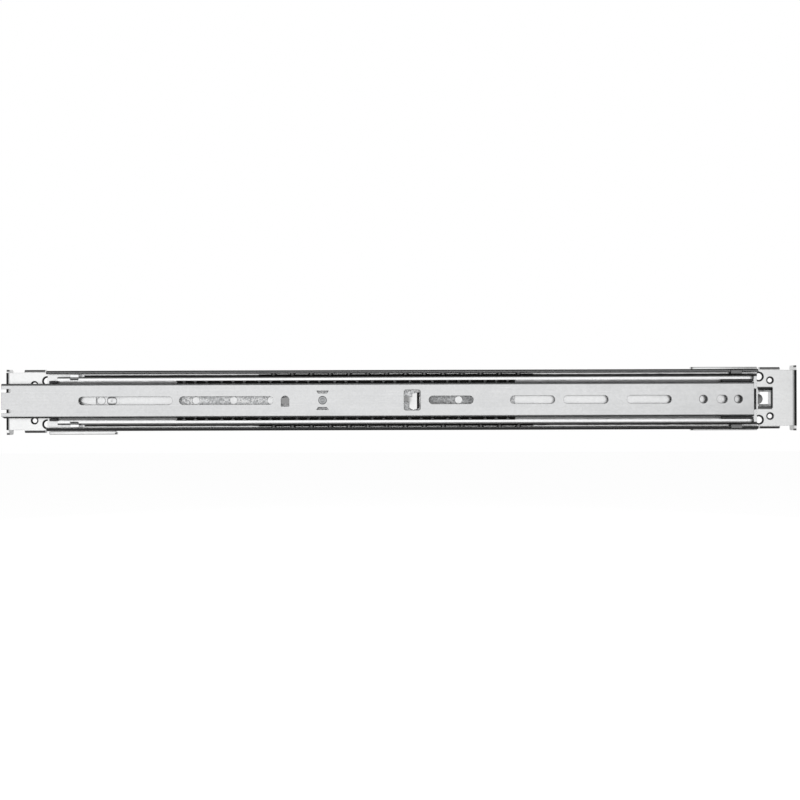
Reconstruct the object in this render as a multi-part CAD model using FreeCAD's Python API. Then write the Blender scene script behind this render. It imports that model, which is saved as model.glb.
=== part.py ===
"""Left-hand rack slide: a three-member ball-bearing slide riveted to two post brackets.

Frame: the origin is the centre of the front bracket's post holes, on the face that meets the
front post. +X runs to the rear of the rack, +Z is up, and the server lies on the -Y side.
All sizes are in millimetres. "Depth" is measured from the inner member's front face towards
the rack's side (+Y), and "radius" is the distance above or below the slide's centreline.
"""
import FreeCAD, Part
import collections
import itertools
import math
import os

V = FreeCAD.Vector

# ---- rack interface -------------------------------------------------------------------------
rack_depth = 711.2            # between the two faces that the brackets bolt to
post_hole_pitch = 15.875      # EIA hole pitch
post_hole_r = 3.3
hole_line_to_plate = 8.1      # from the post-hole line back to the bracket plate
front_flange_edges = [28.2, -30.4]
rear_flange_edges = [30.2, -28.4]
flange_reach = 22.4           # how far a post flange stands out from the plate's server side
flange_corner_r = 2.5

# ---- sheet thicknesses ----------------------------------------------------------------------
bracket_t = 2.0
outer_t = 1.5
middle_t = 1.4
inner_t = 1.5
outer_cage_t = 0.5
inner_cage_t = 0.6
lever_t = 1.2

# ---- balls and raceways ---------------------------------------------------------------------
ball_r = 2.38
raceway_clearance = 0.12
pocket_clearance = 0.07
groove_r = ball_r + raceway_clearance
pocket_r = ball_r + pocket_clearance
inner_row_radius = 17.5       # inner ball rows above and below the centreline
row_step = 5.5                # from an inner row out to the outer one
inner_row_depth = 4.5
inner_groups = 9              # groups of three balls along the inner cage
balls_per_group = 3
inner_ball_pitch = 10.05
inner_group_pitch = 33.6
outer_ball_count = 14
outer_ball_pitch = 16.85
outer_cage_margin = 9.7
cage_hole_r = 3.25

# ---- section of the slide -------------------------------------------------------------------
slide_depth = 12.7
web_gap = 1.2                 # between the middle and outer webs, where the outer cage runs
inner_flange_depth = 7.0
inner_groove_depth = 0.4
inner_bend_r = 2.0            # outside radius of the inner member's bends
inner_shoulder_r = 1.7        # outside radius where a flange runs into its ball groove
outer_bend_r = 1.0            # inside radius of the outer member's rear bends
cage_bend_r = 0.5             # inside radius of both cages' bends
middle_lip_bend_r = 0.35      # inside radius of the bend to the middle member's flat lip
middle_lip_inset = 0.3        # from the row's radius out to the lip's edge
outer_lip_turn = 21.0         # degrees by which the outer lip stops short of a half turn
cage_rim = 0.5                # metal in front of the ball pockets

# ---- members along X ------------------------------------------------------------------------
outer_front = 38.0
outer_rear_inset = 36.7       # from the rear post face
closed_gap = 4.9              # from the closed middle and inner members to the outer one's end
middle_front = 49.0
middle_tongue = 8.5           # the middle web stands this far in front of its flanges
inner_front = -1.0
inner_cage_front = 154.7
outer_cage_front = 227.9

# ---- openings in the inner member -----------------------------------------------------------
# Places and lengths along X are parts of the member's length, measured from its front end.
slot_width = 7.2
long_slot_part = 0.12496
long_slot_places = [0.16478, 0.29876]
mid_slot_part = 0.05935
mid_slot_places = [0.5976, 0.70586, 0.77699, 0.86102]
short_slot_part = 0.01446
short_slot_place = 0.95795
round_hole_places = [0.93289, 0.97942]
tail_hole_place = 0.37698
lever_pivot_place = 0.42678
window_place = 0.54593
round_hole_r = 3.5
notch_length = 8.5
notch_height = 3.1
notch_radius = 9.1            # centre of each open front notch from the centreline
front_corner = 3.6            # slant of the lower front corner
tail_hole_width = 7.3
tail_hole_top = 4.0
tail_hole_bottom = 5.4
window_length = 14.8
window_height = 18.3
window_corner_r = 1.8

# ---- release lever --------------------------------------------------------------------------
lever_rivet_r = 2.0
lever_rivet_head_r = 3.4
lever_rivet_sink = 1.0
lever_head_height = 1.0
lever_running_clearance = 0.05
lever_gap = 0.3               # behind the inner web
lever_half_width = 5.5
lance_length = 10.7
lance_width = 2.2
lance_slope = 1.5             # how much shorter each opening is on its inner side
lance_radius = 7.3
lance_t = 0.9
lance_stand = 2.6             # how far the lanced guides stand behind the web
lance_root = 0.2              # how far a guide runs into the web that it is bent from
lever_neck_high = 2.6         # edges of the bar between the pivot and the nose
lever_neck_low = 1.4
lever_taper = 12.0            # from the wide middle to the neck
tail_overhang = 2.0           # of the lever beyond its tail hole
tail_high = 2.0               # edges of the lever's tail end
tail_low = 3.0
tail_neck_high = 3.2          # edges of the lever just past its tail hole
tail_neck_low = 4.0
tail_neck = 5.0               # from the tail hole's middle
nose_top = 6.8
nose_foot = 9.0
nose_slant = 1.0
foot_rise = 2.0               # from the foot's point to its shoulders
foot_point = 0.9              # of its point and its heel from the window's middle
foot_heel = 2.6

# ---- stops, buffers and guides --------------------------------------------------------------
crimp_inset = 11.2            # from the middle member's front
crimp_length = 7.5
crimp_slot_low = 18.6
crimp_slot_high = 19.9
crimp_tip_radius = 23.4
crimp_t = 1.2
wedge_inset = 17.0            # of a notch in the middle web, seen through the front slot
wedge_length = 13.4
wedge_half_height = 3.6
wedge_radius = 4.0            # of its point, below the centreline
outer_stop_inset = 24.5       # from the outer member's rear end
outer_stop_length = 9.8
outer_stop_radius = 22.3
outer_stop_root = 25.9
buffer_length = 7.2
buffer_inset = 0.6            # from the end of the tongue
buffer_low = 15.7
buffer_high = 17.9
buffer_edge_r = 0.6
buffer_margin = 0.4           # of tongue beyond the buffers
buffer_depth = 3.0            # its front face
buffer_peg_r = 1.2
guide_length = 28.0
guide_clearance = 0.1
guide_running_gap = 0.35
guide_foot_height = 3.2
guide_chamfer = 0.7           # of the guide's rear corner, in depth and in height
guide_chamfer_rise = 0.9
access_hole_inset = 43.4
access_hole_r = 10.6

# ---- rear stop tab and bumper ---------------------------------------------------------------
stop_tab_height = 18.6
stop_tab_inset = 1.3          # from the outer member's rear end
bumper_gap = 0.3              # to the closed inner member
bumper_stem_r = 1.9
bumper_tail_r = 4.4
bumper_tail_length = 5.0
bumper_depth = 5.0            # of its axis
bumper_head_depth = 7.6
bumper_edge_r = 0.8
bumper_rim = 1.4
stop_tab_front = 1.0          # depth of the front edges of the tab and the bumper

# ---- brackets -------------------------------------------------------------------------------
bracket_bend_r = 1.0          # inside radius
edge_bend_r = 0.6             # inside radius of the stiffening edges
edge_reach = 8.0
plate_hole_r = 2.0
plate_hole_radius = 16.1
big_hole_r = 3.0
big_hole_radius = 19.4
hole_rim = 1.3                # width and depth of the bevel round each of those holes
bracket_window_height = 19.2
bracket_window_length = 13.6
bracket_window_x = 29.4
bracket_window_lift = 0.9
window_rim_side = 1.9         # width of the drawn rim at its ends and along its long edges
window_rim_edge = 2.8
window_rim_depth = 3.2
window_rim_t = 1.2
edge_relief = 1.8             # slant of the notch between neck and tongue
edge_relief_depth = 3.0
edge_strip = 8.0              # width of plate made with each bent edge
flange_root = 4.0             # length of plate made with the flange

# Each bracket, measured from its own post face: where its neck and tongue run along X, the
# heights of their bent edges above and below the centreline, and the places of its holes.
front_neck = [17.0, 35.5]
front_tongue = [39.2, 99.5]
front_neck_edges = [28.0, -28.6]
front_tongue_edges = [26.8, -30.2]
front_hole_x = 25.9
front_big_hole_x = 37.2
front_hole_lift = -1.5        # of the plate's holes from the centreline
rear_neck = [15.8, 33.8]
rear_tongue = [36.2, 95.4]
rear_neck_edges = [28.6, -26.6]
rear_tongue_edges = [28.9, -28.0]
rear_hole_x = 24.6
rear_big_hole_x = 34.6
rear_hole_lift = 0.7

# ---- rivets that join the outer member and its brackets ---------------------------------------
rivet_r = 2.0
rivet_head_r = 3.9
rivet_sink = 1.2              # depth of the flush head in the outer web
rivet_tail_r = 3.5
rivet_tail_height = 1.3
rivet_tail_edge = 0.5         # height of the tail's upright edge
rivet_tail_top_r = 2.1
rivet_clearance = 0.05
front_rivet_far = 95.8        # from the bracket's own post face
front_rivet_near = 58.0
rear_rivet_far = 81.2
rear_rivet_near = 51.2
rivet_spread = 12.0           # of the near pair above and below the centreline

# ---- finish of the model -----------------------------------------------------------------------
pocket_flat_count = 8
cage_hole_flat_count = 12
rivet_flat_count = 12
lever_rivet_flat_count = 24
plate_hole_flat_count = 16
cut_margin = 1.0              # how far a cutter runs past the sheet that it goes through

# ---- derived sizes --------------------------------------------------------------------------
plate_front_y = -hole_line_to_plate - bracket_t
face_y = plate_front_y - slide_depth
outer_web_depth = slide_depth - outer_t
middle_web_depth = outer_web_depth - web_gap - middle_t
outer_row_radius = inner_row_radius + row_step
s_curve_run = math.sqrt((2 * groove_r + middle_t) ** 2 - row_step ** 2)
outer_row_depth = inner_row_depth + s_curve_run
inner_radius = inner_row_radius - groove_r + inner_groove_depth
outer_rear = rack_depth - outer_rear_inset
middle_rear = outer_rear - closed_gap
inner_rear = outer_rear - closed_gap
inner_length = inner_rear - inner_front
inner_cage_length = inner_groups * inner_group_pitch
outer_cage_length = outer_ball_count * outer_ball_pitch + outer_cage_margin
inner_cage_web_depth = (inner_flange_depth + middle_web_depth - inner_cage_t) / 2
outer_cage_web_depth = outer_web_depth - (web_gap + outer_cage_t) / 2
lever_pivot_x = inner_front + lever_pivot_place * inner_length
tail_hole_x = inner_front + tail_hole_place * inner_length
window_x = inner_front + window_place * inner_length
crimp_front = middle_front + crimp_inset
wedge_front = middle_front + wedge_inset
access_hole_x = middle_front + access_hole_inset
outer_stop_front = outer_rear - outer_stop_inset
stop_tab_x = outer_rear - stop_tab_inset
front_rivets = [(front_rivet_far, 0), (front_rivet_near, rivet_spread)]
front_rivets.append((front_rivet_near, -rivet_spread))
rear_rivets = [(rack_depth - rear_rivet_far, 0), (rack_depth - rear_rivet_near, rivet_spread)]
rear_rivets.append((rack_depth - rear_rivet_near, -rivet_spread))
Plan = collections.namedtuple(
    "Plan", "neck tongue flange_edges neck_edges tongue_edges hole_x big_hole_x hole_lift"
)
front_plan = Plan(
    front_neck, front_tongue, front_flange_edges, front_neck_edges, front_tongue_edges,
    front_hole_x, front_big_hole_x, front_hole_lift,
)
rear_plan = Plan(
    rear_neck, rear_tongue, rear_flange_edges, rear_neck_edges, rear_tongue_edges,
    rear_hole_x, rear_big_hole_x, rear_hole_lift,
)


# ---- drawing helpers ------------------------------------------------------------------------
def at(depth, radius, x=0.0):
    """The point at a depth behind the inner web's face and a height from the centreline."""
    return V(x, face_y + depth, radius)


def arc(depth, radius, r, start, end):
    """An arc in the slide's section, in degrees from +depth towards +radius."""
    angles = [math.radians(a) for a in (start, (start + end) / 2, end)]
    points = [at(depth + r * math.cos(a), radius + r * math.sin(a)) for a in angles]
    return Part.Arc(*points).toShape()


def line(start, end):
    """A straight edge between two (depth, radius) points."""
    return Part.LineSegment(at(*start), at(*end)).toShape()


def formed_channel(half, thickness, grow, x0, x1):
    """A rolled channel: half of its skin, mirrored below the centreline, thickened and extruded."""
    lower = [edge.mirror(V(0, 0, 0), V(0, 0, 1)) for edge in half]
    skin = Part.Wire(Part.__sortEdges__(half + lower))
    faces = [skin.makeOffset2D(side * thickness, 0, True, True, False) for side in (1, -1)]
    faces.sort(key=lambda face: face.BoundBox.ZLength)
    face = faces[1] if grow == "out" else faces[0]
    face.translate(V(x0, 0, 0))
    return face.extrude(V(x1 - x0, 0, 0))


def box(x0, x1, depth0, depth1, z0, z1):
    """A block between two corners, whichever is given first."""
    low = V(min(x0, x1), face_y + min(depth0, depth1), min(z0, z1))
    return Part.makeBox(abs(x1 - x0), abs(depth1 - depth0), abs(z1 - z0), low)


def across(r, x, z, depth0, depth1):
    """A cylinder along Y between two depths."""
    return Part.makeCylinder(r, depth1 - depth0, at(depth0, z, x), V(0, 1, 0))


def panel(points, depth0, depth1):
    """A flat plate with the given (x, z) outline between two depths."""
    corners = [at(depth0, z, x) for x, z in points]
    outline = Part.makePolygon(corners + corners[:1])
    return Part.Face(outline).extrude(V(0, depth1 - depth0, 0))


def round_slot(x, z, length, width, depth0, depth1):
    """A slot along X with round ends."""
    reach = (length - width) / 2
    body = box(x - reach, x + reach, depth0, depth1, z - width / 2, z + width / 2)
    ends = [across(width / 2, x + side * reach, z, depth0, depth1) for side in (-1, 1)]
    return body.fuse(ends).removeSplitter()


def round_window(x, z, length, height, r, depth0, depth1):
    """A rectangular opening with rounded corners."""
    block = box(x - length / 2, x + length / 2, depth0, depth1, z - height / 2, z + height / 2)
    edges = [edge for edge in block.Edges if abs(edge.Vertexes[0].Y - edge.Vertexes[1].Y) > 1e-6]
    return block.makeFillet(r, edges)


def both(shape):
    """A shape and its mirror image below the centreline."""
    return [shape, shape.mirror(V(0, 0, 0), V(0, 0, 1))]


def ring(r, flats):
    """The corners of a regular polygon whose flats lie at a distance r from its middle."""
    corner_r = r / math.cos(math.pi / flats)
    angles = [math.pi * (2 * i + 1) / flats for i in range(flats)]
    return [(corner_r * math.cos(a), corner_r * math.sin(a)) for a in angles]


def prism(flats, r, x, z, depth0, depth1):
    """A regular prism along Y between two depths, its flats at a distance r from its axis."""
    return panel([(x + u, z + w) for u, w in ring(r, flats)], depth0, depth1)


def frustum(near, far):
    """A solid with flat sides between two polygons, given as equally many corners."""
    outlines = [near, far]
    outlines += zip(near, near[1:] + near[:1], far[1:] + far[:1], far)
    faces = []
    for corners in outlines:
        faces.append(Part.Face(Part.makePolygon([*corners, corners[0]])))
    solid = Part.makeSolid(Part.makeShell(faces))
    if solid.Volume < 0:
        solid.reverse()
    return solid


def stack(points, flats, x, z):
    """A piece like a turned one, but with flats: (radius, depth) points from front to back."""
    pieces = []
    for (r0, depth0), (r1, depth1) in zip(points, points[1:]):
        if depth1 == depth0:
            continue
        ends = []
        for r, depth in ((r0, depth0), (r1, depth1)):
            ends.append([at(depth, z + w, x + u) for u, w in ring(r, flats)])
        pieces.append(frustum(*ends))
    return pieces[0].fuse(pieces[1:]).removeSplitter()


# ---- sections -------------------------------------------------------------------------------
def outer_section(x0, x1):
    """The outer member: a C that hugs the outer ball rows."""
    flange_radius = outer_row_radius + groove_r
    corner = (outer_web_depth - outer_bend_r, flange_radius - outer_bend_r)
    half = [
        arc(outer_row_depth, outer_row_radius, groove_r, 180 - outer_lip_turn, 90),
        line((outer_row_depth, flange_radius), (corner[0], flange_radius)),
        arc(*corner, outer_bend_r, 90, 0),
        line((outer_web_depth, corner[1]), (outer_web_depth, 0)),
    ]
    return formed_channel(half, outer_t, "out", x0, x1)


def middle_section(x0, x1):
    """The middle member: an S round the inner row, then back under the outer row to its web."""
    turn = math.degrees(math.atan2(row_step, s_curve_run))
    dent_r = groove_r + middle_t
    bend_r = middle_web_depth - outer_row_depth
    corner = (outer_row_depth, outer_row_radius - dent_r - bend_r)
    lip_depth = inner_row_depth - groove_r
    side = inner_row_radius + groove_r
    bend = (lip_depth + middle_lip_bend_r, side - middle_lip_bend_r)
    half = [
        line((lip_depth, inner_row_radius + middle_lip_inset), (lip_depth, bend[1])),
        arc(*bend, middle_lip_bend_r, 180, 90),
        line((bend[0], side), (inner_row_depth, side)),
        arc(inner_row_depth, inner_row_radius, groove_r, 90, turn),
        arc(outer_row_depth, outer_row_radius, dent_r, turn + 180, 270),
        arc(*corner, bend_r, 90, 0),
        line((middle_web_depth, corner[1]), (middle_web_depth, 0)),
    ]
    return formed_channel(half, middle_t, "out", x0, x1)


def inner_section(x0, x1):
    """The inner member: a channel whose flanges are dented by the ball grooves."""
    shoulder = inner_radius - inner_shoulder_r
    rise = inner_row_radius - shoulder
    reach = groove_r + inner_shoulder_r
    run = math.sqrt(reach ** 2 - rise ** 2)
    lean = math.degrees(math.atan2(rise, run))
    front = inner_row_depth - run
    back = inner_row_depth + run
    half = [
        line((0, 0), (0, inner_radius - inner_bend_r)),
        arc(inner_bend_r, inner_radius - inner_bend_r, inner_bend_r, 180, 90),
        line((inner_bend_r, inner_radius), (front, inner_radius)),
        arc(front, shoulder, inner_shoulder_r, 90, lean),
        arc(inner_row_depth, inner_row_radius, groove_r, 180 + lean, 360 - lean),
        arc(back, shoulder, inner_shoulder_r, 180 - lean, 90),
        line((back, inner_radius), (inner_flange_depth, inner_radius)),
    ]
    return formed_channel(half, inner_t, "in", x0, x1)


def cage_section(web_depth, row_radius, row_depth, thickness, x0, x1):
    """A ball cage: a web behind the balls and a flange on the row's own radius."""
    skin = row_radius - thickness / 2
    corner = (web_depth - cage_bend_r, skin - cage_bend_r)
    half = [
        line((web_depth, 0), (web_depth, corner[1])),
        arc(*corner, cage_bend_r, 0, 90),
        line((corner[0], skin), (row_depth - pocket_r - cage_rim, skin)),
    ]
    return formed_channel(half, thickness, "out", x0, x1)


# ---- balls and cages ------------------------------------------------------------------------
def inner_ball_places():
    """The x of each ball in one inner row: groups of three, one group to each cage bay."""
    places = []
    for group in range(inner_groups):
        middle = inner_cage_front + (group + 0.5) * inner_group_pitch
        for i in range(balls_per_group):
            places.append(middle + (i - (balls_per_group - 1) / 2) * inner_ball_pitch)
    return places


def outer_ball_places():
    """The x of each ball in one outer row."""
    first = outer_cage_front + (outer_cage_length - (outer_ball_count - 1) * outer_ball_pitch) / 2
    return [first + i * outer_ball_pitch for i in range(outer_ball_count)]


def ball():
    """One ball at the origin, kept to 20 flats, its corners on the true sphere."""
    golden = (1 + math.sqrt(5)) / 2
    unit = ball_r / math.hypot(1, golden)
    corners = []
    for a in (-unit, unit):
        for b in (-unit * golden, unit * golden):
            corners += [V(0, a, b), V(a, b, 0), V(b, 0, a)]
    faces = []
    for p, q, r in itertools.combinations(corners, 3):
        sides = (p.distanceToPoint(q), q.distanceToPoint(r), r.distanceToPoint(p))
        if max(sides) < unit + ball_r:
            faces.append(Part.Face(Part.makePolygon([p, q, r, p])))
    return Part.Solid(Part.Shell(faces))


def ball_row(places, depth, radius):
    """A row of loose balls."""
    one = ball()
    return Part.makeCompound([one.translated(at(depth, radius, x)) for x in places])


def pockets(places, depth, radius):
    """Cutters for the ball pockets of the upper and lower rows."""
    cutters = []
    for x in places:
        low = radius - ball_r
        corners = [at(depth + w, low, x + u) for u, w in ring(pocket_r, pocket_flat_count)]
        outline = Part.Face(Part.makePolygon(corners + corners[:1]))
        cutters += both(outline.extrude(V(0, 0, 2 * ball_r)))
    return cutters


def inner_cage():
    """Cage of the inner rows, with a round hole in each bay of its web."""
    x1 = inner_cage_front + inner_cage_length
    cage = cage_section(
        inner_cage_web_depth, inner_row_radius, inner_row_depth, inner_cage_t, inner_cage_front, x1
    )
    cutters = pockets(inner_ball_places(), inner_row_depth, inner_row_radius)
    through = (inner_cage_web_depth - cut_margin, inner_cage_web_depth + inner_cage_t + cut_margin)
    for group in range(inner_groups):
        x = inner_cage_front + (group + 0.5) * inner_group_pitch
        cutters.append(prism(cage_hole_flat_count, cage_hole_r, x, 0, *through))
    return cage.cut(cutters)


def outer_cage():
    """Cage of the outer rows."""
    x1 = outer_cage_front + outer_cage_length
    cage = cage_section(
        outer_cage_web_depth, outer_row_radius, outer_row_depth, outer_cage_t, outer_cage_front, x1
    )
    return cage.cut(pockets(outer_ball_places(), outer_row_depth, outer_row_radius))


# ---- members --------------------------------------------------------------------------------
def inner_member():
    """The member that carries the server."""
    member = inner_section(inner_front, inner_rear)
    through = (-cut_margin, inner_t + lance_root)
    slots = [(place, long_slot_part) for place in long_slot_places]
    slots += [(place, mid_slot_part) for place in mid_slot_places]
    slots.append((short_slot_place, short_slot_part))
    cutters = []
    for place, part in slots:
        x = inner_front + place * inner_length
        cutters.append(round_slot(x, 0, part * inner_length, slot_width, *through))
    for place in round_hole_places:
        cutters.append(across(round_hole_r, inner_front + place * inner_length, 0, *through))
    window = (window_length, window_height, window_corner_r)
    cutters.append(round_window(window_x, 0, *window, *through))
    cutters.append(tail_hole(*through))
    cutters.append(lever_rivet_hole())
    cutters += lances(*through)
    for side in (-1, 1):
        reach = notch_length - notch_height / 2
        z = side * notch_radius
        half = notch_height / 2
        start = inner_front - cut_margin
        cutters.append(box(start, inner_front + reach, *through, z - half, z + half))
        cutters.append(across(half, inner_front + reach, z, *through))
    low = -inner_radius - cut_margin
    corner = [(inner_front - cut_margin, low), (inner_front + front_corner, low)]
    corner.append((inner_front - cut_margin, low + front_corner))
    cutters.append(panel(corner, -cut_margin, inner_flange_depth + cut_margin))
    member = member.cut(cutters)
    return member.fuse(lance_guides()).removeSplitter()


def tail_hole(depth0, depth1):
    """Opening over the lever's tail: a round top on a flat bottom."""
    half = tail_hole_width / 2
    middle = tail_hole_top - half
    top = across(half, tail_hole_x, middle, depth0, depth1)
    ends = (tail_hole_x - half, tail_hole_x + half)
    foot = box(*ends, depth0, depth1, -tail_hole_bottom, middle)
    return top.fuse(foot).removeSplitter()


def lances(depth0, depth1):
    """The two openings that the lever's guides are lanced from."""
    x0 = lever_pivot_x - lance_length / 2
    x1 = lever_pivot_x + lance_length / 2
    low = lance_radius - lance_width / 2
    high = lance_radius + lance_width / 2
    outline = [(x0, high), (x1, high), (x1 - lance_slope, low), (x0 + lance_slope, low)]
    return both(panel(outline, depth0, depth1))


def lance_guides():
    """The lanced tongues, bent back beside the lever."""
    high = lance_radius + lance_width / 2
    x0 = lever_pivot_x - lance_length / 2
    depths = (inner_t - lance_root, inner_t + lance_stand)
    return both(box(x0, x0 + lance_length, *depths, high, high + lance_t))


def middle_member():
    """The middle member, with its front tongue, stop crimps and access hole."""
    tongue_end = middle_front - middle_tongue
    member = middle_section(tongue_end, middle_rear)
    start = tongue_end - cut_margin
    depths = (-cut_margin, middle_web_depth)
    cutters = [box(start, middle_front, *depths, -outer_row_radius, outer_row_radius)]
    through = (middle_web_depth - cut_margin, middle_web_depth + middle_t + cut_margin)
    cutters.append(across(access_hole_r, access_hole_x, 0, *through))
    wedge = [
        (wedge_front, wedge_half_height - wedge_radius),
        (wedge_front + wedge_length, -wedge_radius),
        (wedge_front, -wedge_half_height - wedge_radius),
    ]
    cutters.append(panel(wedge, *through))
    peg_x = tongue_end + buffer_inset + buffer_length / 2
    lip_back = inner_row_depth - groove_r + middle_t
    crimp_rear = crimp_front + crimp_length
    for side in (-1, 1):
        edge = side * (buffer_high + buffer_margin)
        corner = side * outer_row_radius
        cutters.append(box(start, middle_front, 0, slide_depth, edge, corner))
        peg_z = side * (buffer_low + buffer_high) / 2
        cutters.append(prism(pocket_flat_count, buffer_peg_r, peg_x, peg_z, *through))
        heights = (side * crimp_slot_low, side * crimp_slot_high)
        cutters.append(box(crimp_front, crimp_rear, 0, lip_back, *heights))
    member = member.cut(cutters)
    front = inner_row_depth - groove_r - middle_t / 2
    crimp = box(crimp_front, crimp_rear, front, front + crimp_t, crimp_slot_high, crimp_tip_radius)
    return member.fuse(both(crimp)).removeSplitter()


def outer_member():
    """The member that is riveted to the brackets, with its rear stop tab and lip stops."""
    member = outer_section(outer_front, outer_rear)
    member = member.cut([rivet_hole(x, z) for x, z in front_rivets + rear_rivets])
    x1 = outer_stop_front + outer_stop_length
    front = outer_row_depth - groove_r - outer_t
    stop = box(outer_stop_front, x1, front, front + outer_t, outer_stop_radius, outer_stop_root)
    return member.fuse(both(stop) + [stop_tab()]).removeSplitter()


def stop_tab():
    """A tab of the outer web, bent to stand across the ends of the other members."""
    half = stop_tab_height / 2
    tab = box(stop_tab_x - outer_t, stop_tab_x, stop_tab_front, slide_depth, -half, half)
    return tab.cut(stem_hole())


def stem_hole():
    """The hole that the bumper's stem is pulled through."""
    start = V(stop_tab_x - outer_t - cut_margin, face_y + bumper_depth, 0)
    return Part.makeCylinder(bumper_stem_r, outer_t + 2 * cut_margin, start, V(1, 0, 0))


# ---- buffers, guides, bumper ----------------------------------------------------------------
def front_buffer():
    """A moulded block on the middle member's tongue, with a peg in its web."""
    x0 = middle_front - middle_tongue + buffer_inset
    x1 = x0 + buffer_length
    block = box(x0, x1, buffer_depth, middle_web_depth, buffer_low, buffer_high)
    front = [e for e in block.Edges if e.BoundBox.YMax < face_y + buffer_depth + buffer_edge_r]
    block = block.makeChamfer(buffer_edge_r, front)
    depths = (middle_web_depth, middle_web_depth + middle_t)
    peg_z = (buffer_low + buffer_high) / 2
    peg = prism(pocket_flat_count, buffer_peg_r, (x0 + x1) / 2, peg_z, *depths)
    return block.fuse(peg).removeSplitter()


def rear_guide():
    """A moulded guide that fills the middle groove beside the closed inner member's rear end."""
    run_r = groove_r - guide_clearance
    low = inner_radius + guide_running_gap
    back = middle_web_depth - guide_clearance
    foot_front = inner_flange_depth + guide_running_gap
    start = arc(inner_row_depth, inner_row_radius, run_r, 160, 70)
    first = start.Vertexes[0].Point
    last = start.Vertexes[1].Point
    corners = [
        last,
        at(back - guide_chamfer, inner_row_radius + guide_chamfer_rise),
        at(back, inner_row_radius),
        at(back, low - guide_foot_height),
        at(foot_front, low - guide_foot_height),
        at(foot_front, low),
        at(inner_row_depth - run_r, low),
        first,
    ]
    edges = [start]
    for a, b in zip(corners, corners[1:]):
        edges.append(Part.LineSegment(a, b).toShape())
    face = Part.Face(Part.Wire(Part.__sortEdges__(edges)))
    face.translate(V(middle_rear - guide_length, 0, 0))
    return face.extrude(V(guide_length, 0, 0))


def rear_bumper():
    """A rubber bumper: flat head in front of the stop tab, stem through it, mushroom tail."""
    head_x0 = inner_rear + bumper_gap
    head_x1 = stop_tab_x - outer_t
    half = stop_tab_height / 2
    depths = (stop_tab_front, stop_tab_front + bumper_head_depth)
    head = box(head_x0, head_x1, *depths, -half, half)
    edges = [e for e in head.Edges if abs(e.Vertexes[0].X - e.Vertexes[1].X) > 1e-6]
    head = head.makeFillet(bumper_edge_r, edges)
    axis = V(0, face_y + bumper_depth, 0)
    root = head_x1 - bumper_edge_r
    stem = Part.makeCylinder(
        bumper_stem_r - rivet_clearance, stop_tab_x - root, V(root, axis.y, 0), V(1, 0, 0)
    )
    rim = Part.makeCylinder(bumper_tail_r, bumper_rim, V(stop_tab_x, axis.y, 0), V(1, 0, 0))
    cap_length = bumper_tail_length - bumper_rim
    cap_base = V(stop_tab_x + bumper_rim, axis.y, 0)
    cap = Part.makeCone(bumper_tail_r, bumper_stem_r, cap_length, cap_base, V(1, 0, 0))
    return head.fuse([stem, rim, cap]).removeSplitter()


# ---- brackets -------------------------------------------------------------------------------
def post_flange(edges):
    """The bent end of a bracket: a flange across the post's face, at x = 0, between two heights."""
    y0 = plate_front_y
    bend = bracket_bend_r + bracket_t
    path = [
        Part.LineSegment(V(0, y0 + flange_reach, 0), V(0, y0 + bend, 0)).toShape(),
        Part.Arc(
            V(0, y0 + bend, 0),
            V(bend * (1 - math.cos(math.pi / 4)), y0 + bend * (1 - math.sin(math.pi / 4)), 0),
            V(bend, y0, 0),
        ).toShape(),
        Part.LineSegment(V(bend, y0, 0), V(bend + flange_root, y0, 0)).toShape(),
    ]
    wire = Part.Wire(path)
    faces = [wire.makeOffset2D(side * bracket_t, 0, True, True, False) for side in (1, -1)]
    face = min(faces, key=lambda f: f.BoundBox.YLength)
    face.translate(V(0, 0, edges[1]))
    flange = face.extrude(V(0, 0, edges[0] - edges[1]))
    tip = y0 + flange_reach
    ends = [e for e in flange.Edges if e.BoundBox.YMin > tip - bracket_t]
    corners = [e for e in ends if e.BoundBox.ZLength < bracket_t]
    return flange.makeFillet(flange_corner_r, corners)


def flange_relief(edge):
    """Cutter that frees the flange from the plate beyond the plate's edge."""
    side = 1 if edge > 0 else -1
    reach = bracket_bend_r + bracket_t
    depths = (slide_depth - cut_margin, slide_depth + reach + bracket_t / 2)
    ends = (-cut_margin, reach + flange_root + cut_margin)
    return box(*ends, *depths, edge, edge + side * edge_strip)


def stiff_edge(x0, x1, z_edge):
    """A strip of plate with its edge bent outwards at z_edge."""
    side = 1 if z_edge > 0 else -1
    top = abs(z_edge)
    bend = edge_bend_r + bracket_t
    start = slide_depth
    half = [
        line((start, top - edge_strip), (start, top - bend)),
        arc(start + bend, top - bend, bend, 180, 90),
        line((start + bend, top), (start + edge_reach, top)),
    ]
    wire = Part.Wire(Part.__sortEdges__(half))
    faces = [wire.makeOffset2D(s * bracket_t, 0, True, True, False) for s in (1, -1)]
    face = min(faces, key=lambda f: f.BoundBox.ZMax + f.BoundBox.ZLength)
    face.translate(V(x0, 0, 0))
    strip = face.extrude(V(x1 - x0, 0, 0))
    return strip if side > 0 else strip.mirror(V(0, 0, 0), V(0, 0, 1))


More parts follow.
